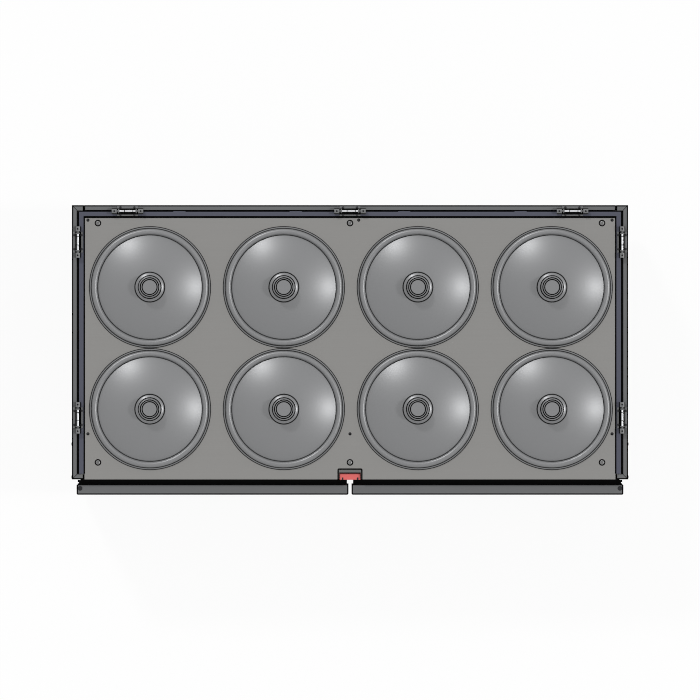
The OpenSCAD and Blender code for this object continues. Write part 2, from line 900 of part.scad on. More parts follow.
module strike_block(over) {
    top = door_top - seal_in - strike_in;
    block([seal_in_x + strike_side, seal_face_y - strike_t, top - strike_h],
          [seal_in_x + seal_w, seal_face_y + over, top]);
}

module right_strike_plate() {
    color(bright) strike_block(0);
}

// arm, wall plate and pin of one pivot; the pin points to dir (1 up, -1 down)
module pivot(z, dir) {
    pin_l = arm_in + arm_t / 2 + pin_over;
    plate_z = dir > 0 ? z + arm_t - plate_h : z;
    translate([pivot_x, pivot_y, z]) {
        cylinder(r = eye_r, h = arm_t);
        translate([0, 0, arm_t / 2]) mirror([0, 0, dir > 0 ? 0 : 1])
            cylinder(r = pivot_r, h = pin_l);
    }
    translate([0, 0, z]) linear_extrude(arm_t) polygon([
        [plate_x - plate_w, front_y],
        [plate_x - plate_w, front_y - plate_t],
        [pivot_x, pivot_y] - arm_side,
        [pivot_x, pivot_y] + arm_side,
        [plate_x, front_y - plate_t],
        [plate_x, front_y]
    ]);
    block([plate_x - plate_w, front_y - plate_t, plate_z], [plate_x, front_y, plate_z + plate_h]);
}

module door_pivots() {
    color(bright) for (side = [0, 1]) mirror([side, 0, 0]) {
        pivot(upper_arm_z, 1);
        pivot(lower_arm_z, -1);
    }
}

// ---------- catch ----------

module touch_catch() {
    color(red) difference() {
        block([-catch_w / 2, catch_y, catch_z], [catch_w / 2, catch_y + catch_d, catch_top]);
        pole_blocks(past);
    }
}

module pole_plates() {
    color(steel) pole_blocks(0);
}

module pole_blocks(over) {
    for (side = [-1, 1])
        block([side * pole_x - pole_w / 2, catch_y - over, catch_z - over],
              [side * pole_x + pole_w / 2, catch_y + pole_d, catch_top + over]);
}

// ---------- lids ----------

// half section of a lid in one sheet: flat edge, rolled rim, shallow dome
module lid_section() {
    translate([roll_out_r - lid_t, 0]) square([lid_r - roll_out_r + lid_t, lid_t]);
    translate([roll_out_r - lid_t, 0]) square([lid_t, roll_foot_z]);
    translate([roll_in_r, roll_foot_z - lid_t / 2]) square([lid_t, lid_t / 2]);
    intersection() {
        difference() {
            translate([roll_mid_r, roll_foot_z]) circle(roll_r);
            translate([roll_mid_r, roll_foot_z]) circle(roll_r - lid_t);
        }
        translate([0, roll_foot_z]) square([lid_r, roll_r + past]);
    }
    intersection() {
        difference() {
            translate([0, dome_centre_z]) circle(dome_r, $fn = 360);
            translate([0, dome_centre_z]) circle(dome_r - lid_t, $fn = 360);
        }
        translate([knob_stud_r + hole_gap, 0])
            square([roll_in_r + lid_t - knob_stud_r - hole_gap, knob_top]);
    }
}

module lid() {
    color(lid_grey) rotate_extrude() lid_section();
}

// knob turned to the dome below it, its stud and nut through the lid
module knob_section() {
    difference() {
        union() {
            polygon([
                [0, 0],
                [knob_base_r, 0],
                [knob_base_r, knob_z - knob_base_edge],
                [knob_head_r, knob_z + knob_skirt_h],
                [0, knob_z + knob_skirt_h]
            ]);
            square([knob_neck_r, knob_top - knob_grip_h / 2]);
            translate([0, knob_top - knob_grip_h]) knob_head();
        }
        translate([0, dome_centre_z]) circle(dome_r, $fn = 360);
        translate([0, knob_top - knob_dish]) square([knob_dish_r, knob_dish + past]);
    }
    translate([0, knob_z - knob_stud_below])
        square([knob_stud_r, knob_stud_below + knob_skirt_h]);
    intersection() {
        translate([0, dome_centre_z]) circle(dome_r - lid_t, $fn = 360);
        translate([0, knob_z - knob_nut_below]) square([knob_nut_r, knob_nut_below]);
    }
}

// grip with a rounded shoulder above and below
module knob_head() {
    shoulder = knob_head_r - knob_top_r;
    translate([0, shoulder]) square([knob_head_r, knob_grip_h - 2 * shoulder]);
    square([knob_top_r, knob_grip_h]);
    for (y = [shoulder, knob_grip_h - shoulder]) translate([knob_top_r, y]) circle(shoulder);
}

module knob() {
    color(lid_grey) rotate_extrude() intersection() {
        knob_section();
        square([2 * knob_base_r, 2 * knob_top]);
    }
}

// ---------- the parts ----------

base_pan();
on_left() right_wall();  // left_wall
right_wall();
rear_wall();
front_frame();
deck_plate();
on_left() right_hinge_rail();  // left_hinge_rail
right_hinge_rail();
rear_hinge_rail();
for (i = [1 : well_count]) at_well(i) well();
deck_screws();
deck_rivets();
catch_housing();
levelling_feet();
fixed_hinge_leaves();
hinge_pins();
fixed_leaf_screws();
on_left() right_flap_panel();  // left_flap_panel
on_left() right_flap_leaves();  // left_flap_leaves
on_left() right_flap_screws();  // left_flap_screws
right_flap_panel();
right_flap_leaves();
right_flap_screws();
rear_flap_panel();
rear_flap_leaves();
rear_flap_screws();
on_left() right_door_skin();  // left_door_skin
on_left() right_door_liner();  // left_door_liner
on_left() right_door_gasket();  // left_door_gasket
on_left() right_strike_plate();  // left_strike_plate
right_door_skin();
right_door_liner();
right_door_gasket();
right_strike_plate();
door_pivots();
touch_catch();
pole_plates();
for (i = [1 : well_count]) at_well(i) lid();
for (i = [1 : well_count]) at_well(i) knob();
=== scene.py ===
"""Looks of a low sheet-metal serving cabinet with eight lidded wells.

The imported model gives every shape, size and place. This script finishes each
surface, adds the seals, sockets and small trim, and sets up the studio.
"""

import json
import math

import bmesh
import bpy
from bpy.props import FloatProperty, FloatVectorProperty, IntProperty, PointerProperty
from bpy.types import Operator, Panel, PropertyGroup
from mathutils import Matrix, Vector


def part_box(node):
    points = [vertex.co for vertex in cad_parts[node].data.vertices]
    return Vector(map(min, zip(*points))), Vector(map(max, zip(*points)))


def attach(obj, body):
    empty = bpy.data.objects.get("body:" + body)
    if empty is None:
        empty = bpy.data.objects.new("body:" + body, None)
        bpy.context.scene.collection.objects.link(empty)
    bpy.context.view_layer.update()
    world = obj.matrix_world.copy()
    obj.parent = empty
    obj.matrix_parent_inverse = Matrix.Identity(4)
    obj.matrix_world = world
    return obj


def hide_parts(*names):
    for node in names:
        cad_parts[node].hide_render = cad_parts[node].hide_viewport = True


bl_info = {
    "name": "Serving cabinet looks",
    "version": (1, 0, 0),
    "blender": (4, 5, 0),
    "location": "View3D > Sidebar > Cabinet",
    "description": "Finishes and small pieces of a serving cabinet with lidded wells",
    "category": "Object",
}

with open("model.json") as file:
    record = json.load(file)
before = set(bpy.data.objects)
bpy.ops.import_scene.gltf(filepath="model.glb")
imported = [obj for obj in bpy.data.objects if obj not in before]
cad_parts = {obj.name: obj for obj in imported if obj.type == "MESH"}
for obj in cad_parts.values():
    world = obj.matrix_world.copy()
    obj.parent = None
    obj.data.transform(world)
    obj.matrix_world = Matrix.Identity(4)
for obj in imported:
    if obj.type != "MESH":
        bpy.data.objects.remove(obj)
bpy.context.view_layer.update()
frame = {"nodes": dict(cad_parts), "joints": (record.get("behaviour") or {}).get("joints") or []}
NODES = frame["nodes"]
WELLS = range(1, 9)
SIDES = ("left", "right", "rear")

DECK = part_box("deck_plate")
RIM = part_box("lid_1")
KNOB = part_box("knob_1")
LID_R = (RIM[1].x - RIM[0].x) / 2
KNOB_R = (KNOB[1].x - KNOB[0].x) / 2

# radii of painted shade rings in creases: where a lid's rolled rim meets its edge
# and its dome, then a knob's rings from the skirt inwards, two low ones and two high ones
ROLL_FEET = (LID_R - 0.0032, LID_R - 0.0152)
KNOB_LOW_RINGS = (KNOB_R - 0.0003, KNOB_R - 0.0067)
KNOB_HIGH_RINGS = (KNOB_R - 0.0105, KNOB_R - 0.0137)

MERGE = 1e-6
SAME_PLACE = 1e-5
SMALL_EASE = 0.0003
BLACK = (0.001, 0.001, 0.001, 1.0)


def centre_of(node):
    """The middle of a CAD node's box."""
    low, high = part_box(node)
    return (low + high) / 2


def solids_of(node):
    """The lowest and highest corner of each separate solid in a CAD node."""
    work = bmesh.new()
    work.from_mesh(NODES[node].data)
    bmesh.ops.remove_doubles(work, verts=work.verts, dist=MERGE)
    work.verts.ensure_lookup_table()
    found, seen = [], set()
    for start in work.verts:
        if start.index in seen:
            continue
        seen.add(start.index)
        group, reach = [], [start]
        while reach:
            vert = reach.pop()
            group.append(vert.co.copy())
            for edge in vert.link_edges:
                other = edge.other_vert(vert)
                if other.index not in seen:
                    seen.add(other.index)
                    reach.append(other)
        low = Vector([min(co[i] for co in group) for i in range(3)])
        high = Vector([max(co[i] for co in group) for i in range(3)])
        found.append((low, high))
    work.free()
    return found


def notch_corner():
    """The half width of the catch's notch in the deck, and how far back it goes.

    Only the outer quarter of the notch counts for its depth, because the holes of the
    deck's screws lie behind its middle.
    """
    beside, behind, outer_quarter = 1.2, 0.02, 0.75
    front, top = DECK[0].y, DECK[1].z
    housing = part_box("catch_housing")[1]
    near = [
        vert.co for vert in NODES["deck_plate"].data.vertices
        if abs(vert.co.x) < housing.x * beside
        and vert.co.y < housing.y + behind
        and top - vert.co.z < SAME_PLACE
    ]
    wide = max(co.x for co in near if co.y - front < SAME_PLACE)
    back = max(co.y for co in near if wide * outer_quarter < abs(co.x) < wide + SAME_PLACE)
    return wide, back


def axis_of(joint):
    """A point on a joint's axis."""
    return next(Vector(row["pos_m"]) for row in frame["joints"] if row["name"] == joint)


SIDE_AXIS = axis_of("right_flap_hinge")
REAR_AXIS = axis_of("rear_flap_hinge")


# ---------- shader wiring ----------


class Wire:
    """A shader socket; arithmetic on it adds Math nodes."""

    def __init__(self, finish, socket):
        self.finish = finish
        self.socket = socket

    def math(self, operation, first, second=0.0):
        inputs = {0: first, 1: second}
        return self.finish.node("ShaderNodeMath", {"operation": operation}, inputs)[0]

    def __add__(self, other):
        return self.math("ADD", self, other)

    def __radd__(self, other):
        return self.math("ADD", other, self)

    def __sub__(self, other):
        return self.math("SUBTRACT", self, other)

    def __rsub__(self, other):
        return self.math("SUBTRACT", other, self)

    def __mul__(self, other):
        return self.math("MULTIPLY", self, other)

    def __abs__(self):
        return self.math("ABSOLUTE", self)

    def __gt__(self, other):
        return self.math("GREATER_THAN", self, other)

    def __lt__(self, other):
        return self.math("LESS_THAN", self, other)

    def least(self, other):
        """The smaller of this and another value."""
        return self.math("MINIMUM", self, other)

    def most(self, other):
        """The larger of this and another value."""
        return self.math("MAXIMUM", self, other)


class Finish:
    """One procedural material, built up around a Principled shader."""

    def __init__(self, name, colour, roughness, metallic=0.0):
        self.material = bpy.data.materials.new(name)
        self.material.use_nodes = True
        self.tree = self.material.node_tree
        self.shader = self.tree.nodes["Principled BSDF"]
        self.colour = linear(colour)
        self.shader.inputs["Base Color"].default_value = self.colour
        self.shader.inputs["Roughness"].default_value = roughness
        self.shader.inputs["Metallic"].default_value = metallic

    def node(self, kind, settings=None, inputs=None):
        """Adds a node, sets it, then gives its sockets values or links."""
        made = self.tree.nodes.new(kind)
        for name, value in (settings or {}).items():
            setattr(made, name, value)
        for key, value in (inputs or {}).items():
            if isinstance(value, Wire):
                self.tree.links.new(value.socket, made.inputs[key])
            else:
                made.inputs[key].default_value = value
        return [Wire(self, socket) for socket in made.outputs]

    def place(self, centre=(0, 0, 0), scale=(1, 1, 1)):
        """Object coordinates measured from a centre, then stretched."""
        start = [-c * s for c, s in zip(centre, scale)]
        return self.node(
            "ShaderNodeMapping",
            None,
            {"Vector": self.node("ShaderNodeTexCoord")[3], "Location": start, "Scale": scale},
        )[0]

    def split(self, vector):
        """The three parts of a vector."""
        return self.node("ShaderNodeSeparateXYZ", None, {0: vector})

    def noise(self, vector, scale, detail=3.0):
        """Soft noise from 0 to 1."""
        return self.node(
            "ShaderNodeTexNoise", None, {"Vector": vector, "Scale": scale, "Detail": detail}
        )[0]

    def ramp(self, value, low, high):
        """0 below low, 1 above high, smooth between."""
        return self.node(
            "ShaderNodeMapRange",
            {"interpolation_type": "SMOOTHSTEP"},
            {"Value": value, "From Min": low, "From Max": high},
        )[0]

    def mix(self, factor, first, second):
        """Colour first where factor is 0, second where it is 1."""
        return self.node(
            "ShaderNodeMix",
            {"data_type": "RGBA", "clamp_factor": True},
            {0: factor, 6: first, 7: second},
        )[2]

    def radius(self, centre):
        """Distance from an upright axis through centre."""
        flat = self.place(centre, (1, 1, 0))
        return self.node("ShaderNodeVectorMath", {"operation": "LENGTH"}, {0: flat})[1]

    def line(self, value, at, half_width):
        """1 along value = at, falling to 0 over half_width."""
        return 1 - self.ramp(abs(value - at), half_width * 0.5, half_width)

    def set(self, socket, wire):
        """Feeds one of the shader's sockets."""
        self.tree.links.new(wire.socket, self.shader.inputs[socket])

    def tone(self):
        """What feeds the base colour so far."""
        return Wire(self, self.shader.inputs["Base Color"].links[0].from_socket)

    def blacken(self, mask):
        """Turns the finish black where mask is 1."""
        self.set("Base Color", self.mix(mask, self.tone(), BLACK))

    def bump(self, height, distance, strength=1.0):
        """Feeds the shader's normal with a height in metres times distance."""
        bent = self.node(
            "ShaderNodeBump", None, {"Strength": strength, "Distance": distance, "Height": height}
        )[0]
        self.set("Normal", bent)


def linear(colour):
    """A display colour as the scene-linear colour that shaders take."""
    parts = [c / 12.92 if c <= 0.04045 else ((c + 0.055) / 1.055) ** 2.4 for c in colour]
    return (*parts, 1.0)


def shade(colour, factor):
    """A linear colour made darker or lighter."""
    return (*[min(1.0, c * factor) for c in colour[:3]], 1.0)


# ---------- finishes ----------


def sheet_steel(name, colour, roughness, metallic):
    """Satin rolled sheet: fine grain one way, soft cloudy sheen, faint handling marks."""
    finish = Finish(name, colour, roughness, metallic)
    grain = finish.noise(finish.place(scale=(6, 1400, 240)), 1.0, 2.0)
    cloud = finish.noise(finish.place(), 7.0, 2.0)
    marks = finish.ramp(finish.noise(finish.place(), 55.0, 5.0), 0.62, 0.74)
    tone = finish.mix(grain, shade(finish.colour, 0.965), shade(finish.colour, 1.035))
    tone = finish.mix(cloud * 0.10, tone, shade(finish.colour, 0.9))
    finish.set("Base Color", finish.mix(marks * 0.06, tone, shade(finish.colour, 1.25)))
    finish.set("Roughness", roughness - 0.05 + grain * 0.06 + cloud * 0.06)
    finish.bump(grain, 0.00002, 0.5)
    return finish


def plated_steel(name, colour, roughness, metallic):
    """Zinc-plated small parts: smooth, with a cloudy film and rubbed spots."""
    finish = Finish(name, colour, roughness, metallic)
    film = finish.noise(finish.place(), 160.0, 3.0)
    rubbed = finish.ramp(finish.noise(finish.place(), 420.0, 2.0), 0.58, 0.72)
    tone = finish.mix(film, shade(finish.colour, 0.86), shade(finish.colour, 1.1))
    finish.set("Base Color", finish.mix(rubbed * 0.25, tone, shade(finish.colour, 1.4)))
    finish.set("Roughness", roughness - 0.05 + film * 0.1)
    return finish


def powder_coat(name, colour, roughness, seams=None):
    """Sprayed paint with a fine orange-peel skin, black where seams(finish) is 1."""
    finish = Finish(name, colour, roughness)
    peel = finish.noise(finish.place(), 900.0, 2.0)
    cloud = finish.noise(finish.place(), 9.0, 3.0)
    tone = finish.mix(cloud, shade(finish.colour, 0.94), shade(finish.colour, 1.06))
    finish.set("Base Color", tone)
    if seams:
        gap = seams(finish)
        finish.blacken(gap)
        finish.set("Metallic", gap)
    finish.set("Roughness", roughness - 0.06 + cloud * 0.12)
    finish.bump(peel, 0.00006, 0.35)
    return finish


def moulded(name, colour, roughness):
    """Moulded plastic with a fine spark texture."""
    finish = Finish(name, colour, roughness)
    spark = finish.noise(finish.place(), 1600.0, 3.0)
    tone = finish.mix(spark, shade(finish.colour, 0.95), shade(finish.colour, 1.05))
    finish.set("Base Color", tone)
    finish.set("Roughness", roughness - 0.04 + spark * 0.08)
    finish.bump(spark, 0.00004, 0.3)
    return finish


def rubber(name, colour, roughness):
    """Matt black rubber with a dusty bloom."""
    finish = Finish(name, colour, roughness)
    finish.shader.inputs["Specular IOR Level"].default_value = 0.04
    bloom = finish.noise(finish.place(), 60.0, 5.0)
    tone = finish.mix(bloom, shade(finish.colour, 0.7), shade(finish.colour, 1.5))
    finish.set("Base Color", tone)
    finish.bump(finish.noise(finish.place(), 1200.0, 2.0), 0.00005, 0.4)
    return finish


def turned_steel(name, colour, roughness, metallic, centre, creases=()):
    """Steel spun or turned round an upright axis: fine rings, a soft sheen, painted shade in
    creases.

    A crease is a black ring of painted shade: radius, half width, depth of the shade, and its
    lowest and highest point.
    """
    finish = Finish(name, colour, roughness, metallic)
    reach = finish.radius(centre)
    rings = finish.node(
        "ShaderNodeTexNoise",
        {"noise_dimensions": "1D"},
        {"W": reach * 1500, "Scale": 1.0, "Detail": 2.0},
    )[0]
    cloud = finish.noise(finish.place(centre), 14.0, 2.0)
    tone = finish.mix(rings, shade(finish.colour, 0.975), shade(finish.colour, 1.025))
    tone = finish.mix(cloud * 0.12, tone, shade(finish.colour, 0.88))
    metal = None
    up = finish.split(finish.place())[2]
    # painted shade: each crease ring turns black and fully metallic, standing in for the shade in
    # it
    for at, half, depth, low, high in creases:
        crease_shade = finish.line(reach, at, half) * depth * (up > low) * (up < high)
        tone = finish.mix(crease_shade, tone, BLACK)
        metal = crease_shade if metal is None else metal.most(crease_shade)
    if metal is not None:
        finish.set("Metallic", metal * (1 - metallic) + metallic)
    finish.set("Base Color", tone)
    finish.set("Roughness", roughness - 0.04 + rings * 0.04 + cloud * 0.05)
    finish.bump(rings, 0.000015, 0.4)
    return finish


# ---------- mesh helpers ----------


def dress(node, finish):
    """Gives a CAD node its finish."""
    mesh = NODES[node].data
    mesh.materials.clear()
    mesh.materials.append(finish.material)


def finished_piece(name, work, finish, body):
    """Turns a bmesh into a smooth-shaded piece that rides on a CAD body."""
    sharp = math.radians(35)
    mesh = bpy.data.meshes.new(name)
    bmesh.ops.recalc_face_normals(work, faces=work.faces)
    for face in work.faces:
        face.smooth = True
    for edge in work.edges:
        if edge.is_manifold and edge.calc_face_angle(0.0) > sharp:
            edge.smooth = False
    work.to_mesh(mesh)
    work.free()
    piece = bpy.data.objects.new(name, mesh)
    bpy.context.scene.collection.objects.link(piece)
    mesh.materials.append(finish.material)
    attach(piece, body)
    return piece


def spun(work, profile, centre, steps, ring=True, turn=None):
    """Turns a profile of (radius, height) points round an upright axis.

    A ring's profile is closed; any other starts and ends on the axis.
    """
    verts = [work.verts.new((r, 0, z)) for r, z in profile]
    ends = verts[1:] + verts[:1] if ring else verts[1:]
    edges = [work.edges.new(pair) for pair in zip(verts, ends)]
    before = set(work.verts) - set(verts)
    bmesh.ops.spin(
        work,
        geom=verts + edges,
        cent=(0, 0, 0),
        axis=(0, 0, 1),
        angle=2 * math.pi,
        steps=steps,
        use_merge=True,
    )
    made = [vert for vert in work.verts if vert not in before]
    bmesh.ops.remove_doubles(work, verts=made, dist=MERGE)
    made = [vert for vert in work.verts if vert not in before]
    if turn is not None:
        bmesh.ops.transform(work, matrix=turn, verts=made)
    bmesh.ops.translate(work, verts=made, vec=centre)
    return made


def screw_head(work, centre, out, radius, height):
    """A round head with a rounded crown and a hexagon socket, facing out."""
    socket, floor = radius * 0.45, height * 0.45
    profile = [
        (0, floor),
        (socket, floor),
        (socket, height),
        (radius * 0.62, height * 0.985),
        (radius * 0.84, height * 0.86),
        (radius * 0.96, height * 0.62),
        (radius, height * 0.34),
        (radius, 0),
        (0, 0),
    ]
    made = spun(work, profile, (0, 0, 0), steps=24, ring=False)
    sixth = math.pi / 3
    for vert in made:
        reach = vert.co.xy.length
        if abs(reach - socket) < socket * 0.01:
            turned = math.atan2(vert.co.y, vert.co.x) % sixth - sixth / 2
            vert.co.xy *= math.cos(sixth / 2) / math.cos(turned)
    turn = Vector(out).to_track_quat("Z", "Y").to_matrix().to_4x4()
    bmesh.ops.transform(work, matrix=Matrix.Translation(centre) @ turn, verts=made)


def bevelled(work, edges, width, segments=2):
    """Rounds some edges."""
    bmesh.ops.bevel(
        work,
        geom=list(edges),
        offset=width,
        segments=segments,
        profile=0.5,
        affect="EDGES",
        material=-1,
    )


def edges_of(verts):
    """All edges that meet some vertices."""
    return {edge for vert in verts for edge in vert.link_edges}


def box_piece(work, low, high, bevel):
    """A bevelled block between two corners."""
    low, high = Vector(low), Vector(high)
    made = bmesh.ops.create_cube(work, size=1.0, matrix=Matrix.Diagonal((*(high - low), 1.0)))
    bmesh.ops.translate(work, verts=made["verts"], vec=(low + high) / 2)
    bevelled(work, edges_of(made["verts"]), bevel)


def hexagon_nut(work, foot, low, high, corner, bevel):
    """A hexagon from low to high above foot, corner away from its axis."""
    made = bmesh.ops.create_cone(
        work, cap_ends=True, segments=6, radius1=corner, radius2=corner, depth=high - low,
        matrix=Matrix.Translation(foot + Vector((0, 0, (low + high) / 2))),
    )
    bevelled(work, edges_of(made["verts"]), bevel)


def softened(node, finish, width, body):
    """A copy of a CAD node with its sharp edges eased, shown in its place."""
    flat, sharp = math.radians(1), math.radians(40)
    work = bmesh.new()
    work.from_mesh(NODES[node].data)
    bmesh.ops.remove_doubles(work, verts=work.verts, dist=MERGE)
    bmesh.ops.dissolve_limit(work, angle_limit=flat, verts=work.verts, edges=work.edges)
    piece = finished_piece(node + "_eased", work, finish, body)
    ease = piece.modifiers.new("eased edges", "BEVEL")
    ease.width = width
    ease.segments = 2
    ease.limit_method = "ANGLE"
    ease.angle_limit = sharp
    ease.harden_normals = True
    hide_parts(node)


# ---------- what a user would change ----------


def colour(name, description, default):
    """A display-colour property."""
    return FloatVectorProperty(
        name=name, description=description, default=default, min=0, max=1, size=3,
        subtype="COLOR_GAMMA",
    )


def length(name, description, default):
    """A length property in metres."""
    return FloatProperty(
        name=name, description=description, default=default, min=0, unit="LENGTH", precision=4
    )


def share(name, description, default):
    """A property from 0 to 1."""
    return FloatProperty(
        name=name, description=description, default=default, min=0, max=1, subtype="FACTOR"
    )


class CabinetColours(PropertyGroup):
    """Colours of the cabinet's finishes"""

    deck: colour("Deck", "Satin steel of the deck", (0.531, 0.527, 0.519))
    lid: colour("Lids", "Spun steel of the lids", (0.502, 0.505, 0.510))
    knob: colour("Knobs", "Turned steel of the knobs", (0.500, 0.503, 0.509))
    body: colour("Body", "Steel of the walls, floor and front frame", (0.56, 0.56, 0.555))
    paint: colour("Panels", "Dark grey paint of the flaps and doors", (0.368, 0.373, 0.378))
    rail: colour("Rails", "Blue-grey paint of the hinge rails", (0.256, 0.264, 0.319))
    hinge: colour("Hinges", "Bright steel of the hinges", (0.80, 0.805, 0.815))
    block: colour("Hinge blocks", "Dull steel of blocks and leaves", (0.42, 0.425, 0.43))
    bright: colour("Bright parts", "Steel of strike plates and foot studs", (0.6, 0.605, 0.62))
    pivot: colour("Pivots", "Dark steel of the door pivots", (0.16, 0.16, 0.17))
    pole: colour("Pole plates", "Dark steel of the catch's pole plates", (0.12, 0.12, 0.13))
    well: colour("Wells", "Drawn steel of the wells", (0.74, 0.74, 0.75))
    liner: colour("Liners", "Grey paint inside the doors", (0.52, 0.52, 0.52))
    foot: colour("Feet", "Black rubber of the feet", (0.035, 0.036, 0.038))
    seal: colour("Seals", "Black rubber of the gaskets and seals", (0.012, 0.013, 0.014))
    housing: colour("Housing", "Grey plastic of the catch housing", (0.38, 0.375, 0.37))
    catch: colour("Catch", "Red plastic of the touch catch", (0.85, 0.385, 0.375))
    screw: colour("Deck screws", "Plated steel of the deck screws", (0.46, 0.46, 0.46))
    leaf_screw: colour("Leaf screws", "Blackened steel of the small screws", (0.17, 0.17, 0.18))
    set_screw: colour("Set screws", "Dark steel of the hinge blocks' screws", (0.1, 0.1, 0.11))


class CabinetSurfaces(PropertyGroup):
    """Sheen and edges of the cabinet's surfaces"""

    steel_roughness: share("Steel roughness", "Roughness of the satin steel", 0.38)
    steel_metal: share("Steel metal", "How metallic the satin steel looks", 0.32)
    knob_roughness: share("Knob roughness", "Roughness of the turned knobs", 0.35)
    paint_roughness: share("Paint roughness", "Roughness of the painted panels", 0.5)
    eased_edge: length("Eased edge", "Radius of the folded sheet's edges", 0.0005)
    seal_proud: length("Seal height", "How far the deck seal stands above the gap", 0.0004)
    lid_seal: length("Lid seal", "How far a lid's seal shows beyond the lid", 0.0007)
    crease: length("Crease line", "Half width of the dark line in a lid's creases", 0.00115)
    knob_crease: length("Knob line", "Half width of the dark lines on a knob", 0.0014)
    mitre: length("Mitre seam", "Half width of the seam at a flap's corner", 0.0009)
    edge_line: length("Edge line", "Width of the dark line on a panel's outer edge", 0.0024)
    seam_line: length("Seam line", "Width of the dark line where two flaps meet", 0.0017)
    close_line: length("Close line", "Width of the dark line beside a rail or gasket", 0.001)
    flap_gap: length("Flap gap", "Gap between a rail and the flap beside it", 0.0024)


class CabinetStudio(PropertyGroup):
    """Camera, floor and lamps"""

    field: length("Field", "Width of the view at the deck", 1.2712)
    lens: FloatProperty(name="Lens", description="Focal length in mm", default=600, min=50)
    floor: length("Floor", "Half width of the floor", 6.0)
    sharpness: FloatProperty(
        name="Pixel width", description="Width of the filter over each pixel", default=1.0, min=0.5
    )
    sky: FloatProperty(
        name="Sky", description="Strength of the soft light all round", default=0.53, min=0
    )
    sun: FloatProperty(
        name="Lamps", description="Strength of each of the two lamps", default=1.0, min=0
    )
    sun_size: FloatProperty(
        name="Lamp size", description="Apparent size of each lamp", default=math.radians(7),
        subtype="ANGLE",
    )
    floor_white: share("Floor white", "Plain white in the floor as the camera sees it", 0.92)
    steps: IntProperty(name="Ring steps", description="Faces round a ring", default=128, min=24)


def settings():
    """The three groups of settings."""
    scene = bpy.context.scene
    return scene.cabinet_colours, scene.cabinet_surfaces, scene.cabinet_studio


# ---------- operators ----------


class CabinetOperator:
    """Shared form of the cabinet's operators."""

    bl_options = {"REGISTER", "UNDO"}

    def execute(self, context):
        self.build(*settings())
        return {"FINISHED"}


class CABINET_OT_stage(CabinetOperator, Operator):
    """Sets up the camera, the floor, the lamps and the soft light"""

    bl_idname = "cabinet.stage"
    bl_label = "Studio"

    def build(self, colours, surfaces, studio):
        scene = bpy.context.scene
        scene.view_settings.view_transform = "Standard"
        scene.cycles.filter_width = studio.sharpness
        self.camera(scene, studio)
        self.floor(studio)
        self.sky(scene, studio)
        for name, turn, lean in (("lamp_right", 0, 43), ("lamp_left", 118, 47)):
            self.sun(name, math.radians(turn), math.radians(lean), studio)

    def camera(self, scene, studio):
        """A long lens straight above the deck."""
        lens = bpy.data.cameras.new("camera")
        lens.lens = studio.lens
        lens.sensor_width = 36
        distance = studio.field * studio.lens / lens.sensor_width
        lens.clip_start = distance / 100
        lens.clip_end = distance * 3
        camera = bpy.data.objects.new("camera", lens)
        camera.location = (0.0, 0.0, DECK[1].z + distance)
        scene.collection.objects.link(camera)
        scene.camera = camera

    def floor(self, studio):
        """A floor that the camera sees as white, but for the shadow on it."""
        work = bmesh.new()
        bmesh.ops.create_grid(work, x_segments=1, y_segments=1, size=studio.floor)
        mesh = bpy.data.meshes.new("floor")
        work.to_mesh(mesh)
        work.free()
        floor = bpy.data.objects.new("floor", mesh)
        bpy.context.scene.collection.objects.link(floor)
        finish = Finish("pale_floor", (0.97, 0.97, 0.97), 0.9)
        light = finish.node("ShaderNodeLightPath")
        glow = {"Color": (1, 1, 1, 1), "Strength": 1.0}
        white = finish.node("ShaderNodeEmission", None, glow)[0]
        seen = light[0] * studio.floor_white
        plain = Wire(finish, finish.shader.outputs[0])
        both = finish.node("ShaderNodeMixShader", None, {0: seen, 1: plain, 2: white})[0]
        output = finish.tree.nodes["Material Output"]
        finish.tree.links.new(both.socket, output.inputs[0])
        mesh.materials.append(finish.material)

    def sky(self, scene, studio):
        """Soft light all round, plain white to the camera and in reflections."""
        world = bpy.data.worlds.new("studio")
        world.use_nodes = True
        scene.world = world
        tree = world.node_tree
        soft = tree.nodes["Background"]
        soft.inputs["Strength"].default_value = studio.sky
        soft.inputs["Color"].default_value = (1, 1, 1, 1)
        plain = tree.nodes.new("ShaderNodeBackground")
        plain.inputs["Color"].default_value = (1, 1, 1, 1)
        path = tree.nodes.new("ShaderNodeLightPath")
        both = tree.nodes.new("ShaderNodeMixShader")
        seen = path.outputs["Is Camera Ray"]
        for ray in ("Is Glossy Ray", "Is Transmission Ray"):
            more = tree.nodes.new("ShaderNodeMath")
            more.operation = "MAXIMUM"
            tree.links.new(seen, more.inputs[0])
            tree.links.new(path.outputs[ray], more.inputs[1])
            seen = more.outputs[0]
        tree.links.new(seen, both.inputs[0])
        tree.links.new(soft.outputs[0], both.inputs[1])
        tree.links.new(plain.outputs[0], both.inputs[2])
        tree.links.new(both.outputs[0], tree.nodes["World Output"].inputs[0])

    def sun(self, name, turn, lean, studio):
        """A lamp turned round from the right and leaning off the upright."""
        away = 5
        side = math.sin(lean)
        towards = Vector((math.cos(turn) * side, math.sin(turn) * side, math.cos(lean)))
        lamp = bpy.data.lights.new(name, "SUN")
        lamp.energy = studio.sun
        lamp.angle = studio.sun_size
        sun = bpy.data.objects.new(name, lamp)
        sun.rotation_euler = towards.to_track_quat("Z", "Y").to_euler()
        sun.location = towards * away
        bpy.context.scene.collection.objects.link(sun)


